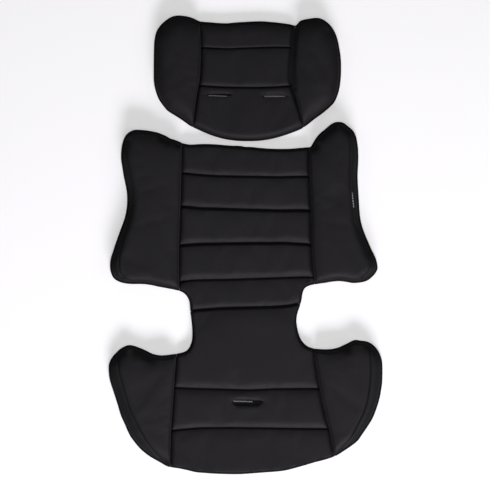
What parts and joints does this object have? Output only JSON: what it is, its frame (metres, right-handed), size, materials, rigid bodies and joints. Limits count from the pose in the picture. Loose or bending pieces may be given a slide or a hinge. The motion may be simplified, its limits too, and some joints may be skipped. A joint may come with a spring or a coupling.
{
  "type": "booster seat liner",
  "caption": "Padded fabric liner for a booster seat, lying flat: head pad with side wings, body pad with channelled back, waist, seat and folding wings, and harness slots.",
  "frame": {"origin": "on the ground under the middle of the outline's bounding box, pad lying flat with its padded face up", "axes": "+Y towards the head pad's top edge, +X to the right seen from above with the head up, +Z out of the padded face"},
  "size_m": [0.4633, 0.7771, 0.039],
  "materials": {
    "black_knit": "matte",
    "gusset_cloth": "matte",
    "foam": "matte",
    "lining_cloth": "matte",
    "slot_binding": "matte",
    "woven_label": "satin"
  },
  "bodies": {
    "back": {"back_panel_1": "black_knit", "back_panel_2": "black_knit", "back_panel_3": "black_knit", "back_panel_4": "black_knit", "waist_panel": "black_knit", "back_foam": "foam", "back_lining": "lining_cloth"},
    "back_wing_left": {"back_wing_left_cover": "black_knit", "back_wing_left_gusset": "gusset_cloth", "back_wing_left_foam": "foam", "back_wing_left_lining": "lining_cloth"},
    "back_wing_right": {"back_wing_right_cover": "black_knit", "back_wing_right_gusset": "gusset_cloth", "back_wing_right_foam": "foam", "back_wing_right_lining": "lining_cloth", "side_tag": "woven_label"},
    "seat": {"seat_panel_1": "black_knit", "seat_panel_2": "black_knit", "seat_panel_3": "black_knit", "seat_foam": "foam", "seat_lining": "lining_cloth", "crotch_slot_binding": "slot_binding", "crotch_slot_label": "woven_label"},
    "seat_wing_left": {"seat_wing_left_cover": "black_knit", "seat_wing_left_gusset": "gusset_cloth", "seat_wing_left_foam": "foam", "seat_wing_left_lining": "lining_cloth"},
    "seat_wing_right": {"seat_wing_right_cover": "black_knit", "seat_wing_right_gusset": "gusset_cloth", "seat_wing_right_foam": "foam", "seat_wing_right_lining": "lining_cloth"},
    "head": {"head_panel_top": "black_knit", "head_panel_middle": "black_knit", "head_panel_lower": "black_knit", "head_foam": "foam", "head_lining": "lining_cloth", "head_slot_binding_left": "slot_binding", "head_slot_binding_right": "slot_binding", "head_slot_label_left": "woven_label", "head_slot_label_right": "woven_label"},
    "head_wing_left": {"head_wing_left_cover": "black_knit", "head_wing_left_foam": "foam", "head_wing_left_lining": "lining_cloth"},
    "head_wing_right": {"head_wing_right_cover": "black_knit", "head_wing_right_foam": "foam", "head_wing_right_lining": "lining_cloth"}
  },
  "joints": [
    {"name": "back_wing_left_fold", "type": "hinge", "parent": "back", "child": "back_wing_left", "pos_m": [-0.10769, 0.19542, 0], "axis": [0.0176, 0.9998, 0], "range_deg": [0, 50]},
    {"name": "back_wing_right_fold", "type": "hinge", "parent": "back", "child": "back_wing_right", "pos_m": [0.10651, 0.19542, 0], "axis": [0.0364, -0.9993, 0], "range_deg": [0, 50]},
    {"name": "seat_fold", "type": "hinge", "parent": "back", "child": "seat", "pos_m": [0, -0.10668, 0], "axis": [-1, 0, 0], "range_deg": [0, 70]},
    {"name": "seat_wing_left_fold", "type": "hinge", "parent": "seat", "child": "seat_wing_left", "pos_m": [-0.11671, -0.16159, 0], "axis": [0.0478, 0.9989, 0], "range_deg": [0, 50]},
    {"name": "seat_wing_right_fold", "type": "hinge", "parent": "seat", "child": "seat_wing_right", "pos_m": [0.11399, -0.16159, 0], "axis": [0.1867, -0.9824, 0], "range_deg": [0, 50]},
    {"name": "head_height", "type": "slide", "parent": "back", "child": "head", "axis": [0, 1, 0], "range_m": [0, 0.12]},
    {"name": "head_wing_left_fold", "type": "hinge", "parent": "head", "child": "head_wing_left", "pos_m": [-0.07676, 0.27361, 0], "axis": [0, 1, 0], "range_deg": [0, 55]},
    {"name": "head_wing_right_fold", "type": "hinge", "parent": "head", "child": "head_wing_right", "pos_m": [0.0788, 0.28381, 0], "axis": [0, -1, 0], "range_deg": [0, 55]}
  ]
}
